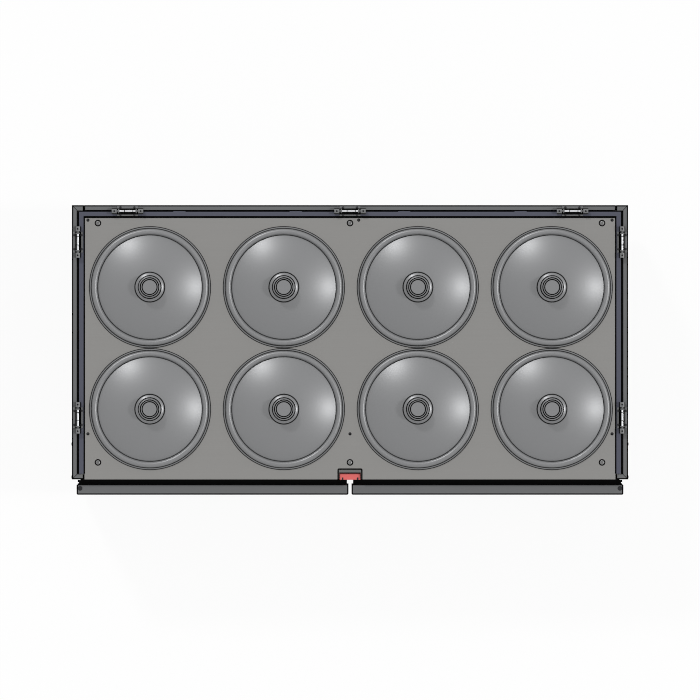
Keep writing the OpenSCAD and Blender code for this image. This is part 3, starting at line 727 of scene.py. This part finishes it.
class CABINET_OT_body(CabinetOperator, Operator):
    """Finishes the floor, walls, front frame and deck in satin sheet steel"""

    bl_idname = "cabinet.body"
    bl_label = "Body and deck"

    def build(self, colours, surfaces, studio):
        sheen = surfaces.steel_roughness, surfaces.steel_metal
        steel = sheet_steel("body_steel", colours.body, *sheen)
        for node in ("base_pan", "left_wall", "right_wall", "rear_wall", "front_frame"):
            dress(node, steel)
        dress("deck_plate", sheet_steel("deck_steel", colours.deck, *sheen))
        self.deck_seal(colours, surfaces)

    def deck_seal(self, colours, surfaces):
        """Black sealant in the seam between the deck's edge and the rails."""
        black = rubber("seal_rubber", colours.seal, 0.6)
        proud = DECK[1].z + surfaces.seal_proud
        deep, on_rail, on_deck, rear_on_deck = 0.0018, 0.0016, 0.0002, 0.0014
        sunk = DECK[1].z - deep
        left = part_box("left_hinge_rail")[1].x - on_rail
        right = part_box("right_hinge_rail")[0].x + on_rail
        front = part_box("right_hinge_rail")[0].y
        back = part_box("rear_hinge_rail")[0].y
        seams = (
            ((left, front), (DECK[0].x + on_deck, back)),
            ((DECK[1].x - on_deck, front), (right, back)),
            ((left, DECK[1].y - rear_on_deck), (right, back + on_rail)),
        )
        work = bmesh.new()
        for low, high in seams:
            box_piece(work, (*low, sunk), (*high, proud), SMALL_EASE)
        finished_piece("deck_seal", work, black, "cabinet")


class CABINET_OT_rails(CabinetOperator, Operator):
    """Paints the hinge rails blue-grey and adds rubber strips"""

    bl_idname = "cabinet.rails"
    bl_label = "Hinge rails"

    def build(self, colours, surfaces, studio):
        paint = powder_coat(
            "rail_paint", colours.rail, surfaces.paint_roughness,
            lambda finish: self.outer_edge(finish, surfaces.close_line),
        )
        for side in SIDES:
            dress(f"{side}_hinge_rail", paint)
        self.stop_strips(colours)

    def outer_edge(self, finish, width):
        """A dark line along the side rails' outer top edge."""
        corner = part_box("right_hinge_rail")[1]
        across, _, up = finish.split(finish.place())
        return (abs(across) > corner.x - width) * (up > DECK[1].z - width)

    def stop_strips(self, colours):
        """Black rubber strips on the rails' outer faces, below the tabs of the rear one."""
        black = rubber("strip_rubber", colours.seal, 0.6)
        thick, tall, below, under_tabs, ease = 0.0022, 0.007, 0.0002, 0.0082, 0.0004
        top = DECK[1].z - below
        work = bmesh.new()
        for side in ("left", "right"):
            low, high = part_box(f"{side}_hinge_rail")
            x = high.x if side == "right" else low.x - thick
            box_piece(work, (x, low.y, top - tall), (x + thick, high.y, top), ease)
        end, face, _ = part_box("right_hinge_rail")[1]
        top -= under_tabs
        box_piece(work, (-end, face, top - tall), (end, face + thick, top), ease)
        finished_piece("stop_strips", work, black, "cabinet")


class CABINET_OT_wells(CabinetOperator, Operator):
    """Finishes the drawn wells"""

    bl_idname = "cabinet.wells"
    bl_label = "Wells"

    def build(self, colours, surfaces, studio):
        for i in WELLS:
            node = f"well_{i}"
            finish = turned_steel(f"well_steel_{i}", colours.well, 0.3, 0.9, centre_of(node))
            dress(node, finish)


class CABINET_OT_lids(CabinetOperator, Operator):
    """Finishes the lids in spun steel and lays a black seal under each edge"""

    bl_idname = "cabinet.lids"
    bl_label = "Lids"

    def build(self, colours, surfaces, studio):
        black = rubber("lid_seal_rubber", colours.seal, 0.6)
        # painted shade: dark rings at the lid's edge, in the creases at the feet of its rolled
        # rim, and round the knob's foot
        depths = ((LID_R, 0.8), (ROLL_FEET[0], 0.85), (ROLL_FEET[1], 0.65), (KNOB_R, 0.85))
        for i in WELLS:
            node = f"lid_{i}"
            low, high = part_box(node)
            centre = (low + high) / 2
            width = surfaces.crease
            creases = [(ring, width, depth, low.z, high.z + width) for ring, depth in depths]
            finish = turned_steel(
                f"lid_steel_{i}", colours.lid, surfaces.steel_roughness,
                surfaces.steel_metal, centre, creases,
            )
            dress(node, finish)
            self.seal(i, centre, low.z, black, surfaces, studio)

    def seal(self, i, centre, seat, black, surfaces, studio):
        """A thin ring that shows as a dark line round the lid."""
        lap, under, over = 0.0006, 0.0002, 0.0009
        inner, outer = LID_R - lap, LID_R + surfaces.lid_seal
        profile = [(inner, under), (outer, under), (outer, over), (inner, over)]
        work = bmesh.new()
        spun(work, profile, (centre.x, centre.y, seat), studio.steps)
        finished_piece(f"lid_seal_{i}", work, black, f"lid_body_{i}")


class CABINET_OT_knobs(CabinetOperator, Operator):
    """Turns the knobs in detail, with the nuts that hold them"""

    bl_idname = "cabinet.knobs"
    bl_label = "Knobs"

    def build(self, colours, surfaces, studio):
        grip_face, skirt_top, width = 0.004, 0.0155, surfaces.knob_crease
        for i in WELLS:
            node = f"knob_{i}"
            low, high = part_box(node)
            face, skirt = high.z - grip_face, high.z - skirt_top
            # painted shade: dark rings in the creases of the grip's dished face, on the skirt
            # under the grip's edge, and at the skirt's foot
            creases = [(ring, width, 1.0, face, high.z + width) for ring in KNOB_HIGH_RINGS]
            creases += [(ring, width, 1.0, low.z, skirt) for ring in KNOB_LOW_RINGS]
            finish = turned_steel(
                f"knob_steel_{i}", colours.knob, surfaces.knob_roughness,
                surfaces.steel_metal, centre_of(node), creases,
            )
            middle = (low + high) / 2
            work = bmesh.new()
            self.turned(work, Vector((middle.x, middle.y, high.z)))
            self.cap_nut(work, Vector((middle.x, middle.y, low.z)))
            piece = finished_piece(f"{node}_turned", work, finish, f"lid_body_{i}")
            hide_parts(node)

    def turned(self, work, top):
        """Dished grip, neck and skirt, turned in one from the top down."""
        profile = [
            (0, -0.001), (0.0132, -0.001), (0.0136, -0.0006), (0.0136, -0.0002),
            (0.0139, 0), (0.0164, 0), (0.0167, -0.0003), (0.01705, -0.0003),
            (0.0174, -0.0001), (0.0184, -0.0005), (0.0193, -0.0013), (0.0198, -0.0022),
            (0.02, -0.0033), (0.02, -0.0067), (0.0198, -0.0078), (0.0191, -0.0089),
            (0.0181, -0.0097), (0.0168, -0.01), (0.0118, -0.01), (0.0112, -0.0104),
            (0.011, -0.0112), (0.011, -0.0152), (0.0114, -0.0158), (0.0122, -0.016),
            (0.0196, -0.016), (0.0214, -0.0165), (0.0234, -0.0173), (0.0252, -0.0181),
            (0.0264, -0.019), (0.0271, -0.0199), (0.0273, -0.0208), (0.0273, -0.0217),
            (0.02, -0.0209), (0.012, -0.0203), (0, -0.02),
        ]
        spun(work, profile, top, steps=96, ring=False)

    def cap_nut(self, work, foot):
        """A washer and a domed nut that hold the knob from inside the lid."""
        washer = [(0, 0.0055), (0.009, 0.0055), (0.009, 0.0064), (0, 0.0068)]
        spun(work, washer, foot, steps=48, ring=False)
        cap = [
            (0, 0), (0.002, 0.0002), (0.004, 0.001), (0.0052, 0.002), (0.0054, 0.0026),
            (0, 0.0026),
        ]
        spun(work, cap, foot, steps=32, ring=False)
        hexagon_nut(work, foot, low=0.0022, high=0.0056, corner=0.0082, bevel=0.0004)


class CABINET_OT_hinges(CabinetOperator, Operator):
    """Finishes the hinges, the door pivots and the strike plates"""

    bl_idname = "cabinet.hinges"
    bl_label = "Hinges"

    def build(self, colours, surfaces, studio):
        bright = plated_steel("plate_steel", colours.bright, 0.3, 0.6)
        for node in ("left_strike_plate", "right_strike_plate"):
            dress(node, bright)
        dress("door_pivots", plated_steel("pivot_steel", colours.pivot, 0.35, 0.7))
        fixed_bare, moving_bare, pin_side, pin_edge = 0.0062, 0.0048, 0.0034, 0.0044
        fixed = self.leaf_steel("fixed_leaf_steel", colours, fixed_bare)
        softened("fixed_hinge_leaves", fixed, SMALL_EASE, "cabinet")
        moving = self.leaf_steel("moving_leaf_steel", colours, moving_bare)
        for side in SIDES:
            softened(f"{side}_flap_leaves", moving, SMALL_EASE, f"{side}_flap")
        block = plated_steel("block_steel", colours.block, 0.42, 0.2)
        # painted shade: black along the pin blocks' sides, off the hinge axis, as on the barrel's
        # flanks
        flank = block.ramp(self.off_axis(block), pin_side, pin_edge)
        block.blacken(flank)
        block.set("Metallic", flank)
        softened("hinge_pins", block, SMALL_EASE, "cabinet")
        self.set_screws(colours)
        self.knuckle_washers(colours)

    def leaf_steel(self, name, colours, bare):
        """Hinge steel with black painted shade on the barrel's flanks, so bright steel shows only
        along the crest as its highlight, and dull beyond bare.
        """
        crest, crest_end, fade, rim, rim_end = 0.001, 0.0018, 0.0006, 0.0086, 0.0089
        finish = plated_steel(name, colours.hinge, 0.36, 0.6)
        off = self.off_axis(finish)
        leaf = finish.ramp(off, bare, bare + fade)
        # painted shade on the barrel's flanks and the leaf beside it; the bright crest left
        # between stands for the barrel's highlight
        flank = finish.ramp(off, crest, crest_end) * (1 - leaf)
        black = flank.most(finish.ramp(off, rim, rim_end))
        finish.set("Base Color", finish.mix(leaf, finish.tone(), linear(colours.block)))
        finish.blacken(black)
        finish.set("Metallic", black.most(1 - leaf))
        return finish

    def off_axis(self, finish):
        """Level distance from the nearest hinge axis."""
        across, along, _ = finish.split(finish.place())
        return abs(abs(across) - SIDE_AXIS.x).least(abs(along - REAR_AXIS.y))

    def pins(self):
        """Each pin's highest corner, middle, direction and half length."""
        for low, high in solids_of("hinge_pins"):
            size = high - low
            end = Vector((1, 0, 0)) if size.x > size.y else Vector((0, 1, 0))
            yield high, (low + high) / 2, end, max(size.x, size.y) / 2

    def knuckle_washers(self, colours):
        """Black bearing washers between the knuckles of each hinge."""
        black = rubber("washer_nylon", colours.seal, 0.6)
        proud, half, beyond, crest_depth = 0.0002, 0.0006, 0.00025, 0.0003
        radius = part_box("rear_flap_leaves")[1].z - SIDE_AXIS.z + proud
        profile = [(0, -half), (radius, -half), (radius, half), (0, half)]
        work = bmesh.new()
        tops = []
        for side in SIDES:
            leaves = NODES[f"{side}_flap_leaves"].data
            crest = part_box(f"{side}_flap_leaves")[1].z
            tops += [
                vert.co.copy() for vert in leaves.vertices if crest - vert.co.z < crest_depth
            ]
        for _, middle, end, reach in self.pins():
            places = [(top - middle).dot(end) for top in tops if (top - middle).length < reach]
            axis = Vector((middle.x, middle.y, SIDE_AXIS.z))
            turn = end.to_track_quat("Z", "Y").to_matrix().to_4x4()
            for at in (min(places) - beyond, max(places) + beyond):
                spun(work, profile, axis + end * at, steps=32, ring=False, turn=turn)
        finished_piece("knuckle_washers", work, black, "cabinet")

    def set_screws(self, colours):
        """A small socket screw in the top of each block that holds a pin."""
        dark = plated_steel("dark_screw", colours.set_screw, 0.4, 0.8)
        half_block, sunk, radius, height = 0.0045, 0.0002, 0.0016, 0.0006
        work = bmesh.new()
        for high, middle, end, reach in self.pins():
            for side in (-1, 1):
                place = middle + end * (reach - half_block) * side
                place.z = high.z - sunk
                screw_head(work, place, (0, 0, 1), radius, height)
        finished_piece("block_screws", work, dark, "cabinet")


class CABINET_OT_panels(CabinetOperator, Operator):
    """Paints the flaps and the doors, and finishes the doors' inner side"""

    bl_idname = "cabinet.panels"
    bl_label = "Flaps and doors"

    def build(self, colours, surfaces, studio):
        for side in SIDES:
            node = f"{side}_flap_panel"
            paint = self.paint(node, side, colours, surfaces)
            softened(node, paint, surfaces.eased_edge, f"{side}_flap")
        liner = powder_coat("liner_paint", colours.liner, 0.45)
        black = rubber("gasket_rubber", colours.seal, 0.55)
        for side in ("left", "right"):
            node = f"{side}_door_skin"
            paint = self.paint(node, "door", colours, surfaces)
            softened(node, paint, surfaces.eased_edge, f"{side}_door")
            dress(f"{side}_door_liner", liner)
            dress(f"{side}_door_gasket", black)

    def paint(self, node, place, colours, surfaces):
        """Panel paint with a dark line along each top edge, as wide as its place asks."""
        low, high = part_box(node)
        edge, seam, close = surfaces.edge_line, surfaces.seam_line, surfaces.close_line
        left, right, front, back = {
            "left": (edge, seam, edge, edge),
            "right": (seam, edge, edge, edge),
            "rear": (seam, seam, close, edge),
            "door": (edge, edge, edge, close),
        }[place]

        def seams(finish):
            across, along, up = finish.split(finish.place())
            ends = (across > high.x - right).most(across < low.x + left)
            faces = (along > high.y - back).most(along < low.y + front)
            lines = ends.most(faces) * (up > high.z - edge)
            if place in ("left", "right"):
                lines = lines.most(self.mitres(finish, surfaces))
            return lines

        return powder_coat(f"{node}_paint", colours.paint, surfaces.paint_roughness, seams)

    def mitres(self, finish, surfaces):
        """Dark seams where a side flap's ends turn in at 45 degrees, and beside the rail."""
        low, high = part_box("right_flap_panel")
        back_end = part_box("rear_flap_panel")[0].y
        front_end = low.y + high.y - back_end
        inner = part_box("right_hinge_rail")[1].x + surfaces.flap_gap
        across, along, _ = finish.split(finish.place())
        wide = abs(across)
        front = finish.line(wide + along, high.x + low.y, surfaces.mitre) * (along < 0.0)
        back = finish.line(wide - along, high.x - high.y, surfaces.mitre) * (along > 0.0)
        beside = (wide < inner + surfaces.close_line) * (along < back_end) * (along > front_end)
        return front.most(back).most(beside)


class CABINET_OT_catch(CabinetOperator, Operator):
    """Finishes the touch catch and adds the bead round it"""

    bl_idname = "cabinet.catch"
    bl_label = "Touch catch"

    def build(self, colours, surfaces, studio):
        red = moulded("catch_red", colours.catch, 0.35)
        softened("touch_catch", red, 0.0008, "catch")
        dress("pole_plates", plated_steel("pole_steel", colours.pole, 0.4, 0.4))
        dress("catch_housing", moulded("catch_grey", colours.housing, 0.5))
        black = rubber("bead_rubber", colours.seal, 0.6)
        self.notch_bead(black)
        self.buffer(black)

    def notch_bead(self, black):
        """A rubber bead along the deck's edge round the catch."""
        front = DECK[0].y
        wide, proud, deep, corner = 0.0025, 0.0004, 0.0018, 0.003
        side, back = notch_corner()
        top = DECK[1].z + proud
        work = bmesh.new()
        path = [(-side, front), (-side, back), (side, back), (side, front)]
        verts = [work.verts.new((x, y, top)) for x, y in path]
        edges = [work.edges.new(pair) for pair in zip(verts, verts[1:])]
        drawn = bmesh.ops.extrude_edge_only(work, edges=edges)["geom"]
        fresh = [part for part in drawn if isinstance(part, bmesh.types.BMVert)]
        bmesh.ops.translate(work, verts=fresh, vec=(0, 0, -deep))
        uprights = [
            edge for edge in work.edges
            if abs(edge.verts[0].co.z - edge.verts[1].co.z) > deep / 2
            and abs(edge.verts[0].co.y - back) < MERGE
        ]
        bevelled(work, uprights, corner, segments=6)
        middle = Vector((0, (front + back) / 2, 0))
        bmesh.ops.recalc_face_normals(work, faces=work.faces)
        face = max(work.faces, key=lambda each: each.calc_center_median().y)
        if face.normal.dot(middle - face.calc_center_median()) < 0:
            bmesh.ops.reverse_faces(work, faces=work.faces)
        bmesh.ops.solidify(work, geom=work.faces, thickness=-wide)
        finished_piece("notch_bead", work, black, "cabinet")

    def buffer(self, black):
        """A rubber strip along the plunger's back edge."""
        low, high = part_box("touch_catch")
        lap, proud, deep, short, ease = 0.0018, 0.0003, 0.004, 0.0006, 0.0002
        work = bmesh.new()
        box_piece(
            work, (low.x + short, high.y - lap, high.z - deep),
            (high.x - short, high.y + proud, high.z + proud), ease,
        )
        finished_piece("catch_buffer", work, black, "catch")


class CABINET_OT_fasteners(CabinetOperator, Operator):
    """Finishes the screws and rivets and adds washers"""

    bl_idname = "cabinet.fasteners"
    bl_label = "Screws and rivets"

    def build(self, colours, surfaces, studio):
        plated = plated_steel("screw_steel", colours.screw, 0.35, 0.6)
        dark = plated_steel("leaf_screw_steel", colours.leaf_screw, 0.4, 0.5)
        dress("deck_rivets", dark)
        self.heads("deck_screws", plated, "cabinet")
        self.heads("fixed_leaf_screws", dark, "cabinet")
        for side in SIDES:
            self.heads(f"{side}_flap_screws", dark, f"{side}_flap")
        self.washers(colours)

    def heads(self, node, finish, body):
        """A socket head, a shank and its tip in place of each plain screw."""
        round_enough, head_share, shank_share = 0.0002, 0.48, 0.45
        work = bmesh.new()
        for low, high in solids_of(node):
            size = high - low
            middle = (low + high) / 2
            if abs(size.x - size.y) < round_enough:
                out, radius, length = Vector((0, 0, 1)), size.x / 2, size.z
                seat = Vector((middle.x, middle.y, high.z))
            else:
                side = 1 if middle.x > 0 else -1
                out, radius, length = Vector((side, 0, 0)), size.y / 2, size.x
                seat = Vector((high.x if side > 0 else low.x, middle.y, middle.z))
            height = radius * head_share
            below = seat - out * height
            screw_head(work, below, out, radius, height)
            self.shank(work, below, out, radius * shank_share, length - height)
        piece = finished_piece(f"{node}_detailed", work, finish, body)
        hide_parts(node)

    def shank(self, work, seat, out, radius, length):
        """A ridged shank below a head."""
        pitch, lap, root, tip = 0.0008, 0.0002, 0.82, 0.5
        profile = [(0, lap), (radius, lap)]
        for turn in range(int(length / pitch) - 1):
            low = -pitch * (turn + 0.5)
            profile += [(radius, low + pitch * 0.25), (radius * root, low)]
        profile += [(radius * tip, -length), (0, -length)]
        profile.reverse()
        turned = Vector(out).to_track_quat("Z", "Y").to_matrix().to_4x4()
        spun(work, profile, seat, steps=12, ring=False, turn=turned)

    def washers(self, colours):
        """A black washer under each deck screw and rivet."""
        black = rubber("washer_black", colours.seal, 0.6)
        lap, thick, ease = 0.0006, 0.0005, SMALL_EASE
        work = bmesh.new()
        for node, wide in (("deck_screws", 0.0018), ("deck_rivets", 0.001)):
            for low, high in solids_of(node):
                middle = (low + high) / 2
                head = (high.x - low.x) / 2
                inner, outer = head - lap, head + wide
                profile = [
                    (inner, 0), (outer, 0), (outer, ease), (outer - ease, thick), (inner, thick),
                ]
                spun(work, profile, (middle.x, middle.y, DECK[1].z), steps=32)
        finished_piece("deck_washers", work, black, "cabinet")


class CABINET_OT_feet(CabinetOperator, Operator):
    """Gives the levelling feet ribbed pads, threaded studs and nuts"""

    bl_idname = "cabinet.feet"
    bl_label = "Levelling feet"

    def build(self, colours, surfaces, studio):
        black = rubber("foot_rubber", colours.foot, 0.65)
        plated = plated_steel("foot_steel", colours.bright, 0.3, 0.7)
        pads, studs = bmesh.new(), bmesh.new()
        for low, high in solids_of("levelling_feet"):
            middle = (low + high) / 2
            foot = Vector((middle.x, middle.y, 0))
            self.pad(pads, foot, (high.x - low.x) / 2)
            self.stud(studs, foot, high.z)
        piece = finished_piece("foot_pads", pads, black, "cabinet")
        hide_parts("levelling_feet")
        finished_piece("foot_studs", studs, plated, "cabinet")

    def pad(self, work, foot, radius):
        """A ribbed rubber pad, dished a little on top."""
        rib_depth, first_rib, rib_pitch, top = 0.0006, 0.0022, 0.0008, 0.007
        profile = [
            (0, 0), (radius - 0.002, 0), (radius - rib_depth, rib_depth), (radius, 0.0018),
        ]
        for rib in range(3):
            z = first_rib + rib * rib_pitch
            profile += [(radius - rib_depth, z), (radius, z + rib_pitch / 2)]
        profile += [
            (radius - 0.0008, 0.0052), (radius * 0.72, 0.006), (radius * 0.62, top), (0, top),
        ]
        spun(work, profile, foot, steps=48, ring=False)

    def stud(self, work, foot, top):
        """A threaded stud with a locking nut below the floor."""
        radius, pitch, start, thread, tip = 0.006, 0.00125, 0.0068, 0.0007, 0.001
        profile = [(0, start), (radius, start)]
        for turn in range(int((top - start) / pitch) - 1):
            z = start + pitch * (turn + 0.5)
            profile += [(radius - thread, z), (radius, z + pitch / 2)]
        profile += [(radius - tip, top), (0, top)]
        spun(work, profile, foot, steps=24, ring=False)
        hexagon_nut(work, foot, low=0.016, high=0.02, corner=0.0108, bevel=0.0005)


OPERATORS = (
    CABINET_OT_stage,
    CABINET_OT_body,
    CABINET_OT_rails,
    CABINET_OT_wells,
    CABINET_OT_lids,
    CABINET_OT_knobs,
    CABINET_OT_hinges,
    CABINET_OT_panels,
    CABINET_OT_catch,
    CABINET_OT_fasteners,
    CABINET_OT_feet,
)


class CABINET_PT_looks(Panel):
    """Lists the cabinet's operators and settings"""

    bl_label = "Serving cabinet"
    bl_idname = "CABINET_PT_looks"
    bl_space_type = "VIEW_3D"
    bl_region_type = "UI"
    bl_category = "Cabinet"

    def draw(self, context):
        for operator in OPERATORS:
            self.layout.operator(operator.bl_idname)
        for group in settings():
            for name in group.__annotations__:
                self.layout.prop(group, name)


CLASSES = (CabinetColours, CabinetSurfaces, CabinetStudio, *OPERATORS, CABINET_PT_looks)


def register():
    for each in CLASSES:
        bpy.utils.register_class(each)
    bpy.types.Scene.cabinet_colours = PointerProperty(type=CabinetColours)
    bpy.types.Scene.cabinet_surfaces = PointerProperty(type=CabinetSurfaces)
    bpy.types.Scene.cabinet_studio = PointerProperty(type=CabinetStudio)


def unregister():
    del bpy.types.Scene.cabinet_studio
    del bpy.types.Scene.cabinet_surfaces
    del bpy.types.Scene.cabinet_colours
    for each in reversed(CLASSES):
        bpy.utils.unregister_class(each)


def main():
    register()
    for operator in OPERATORS:
        group, name = operator.bl_idname.split(".")
        getattr(getattr(bpy.ops, group), name)()


if __name__ == "__main__":
    main()
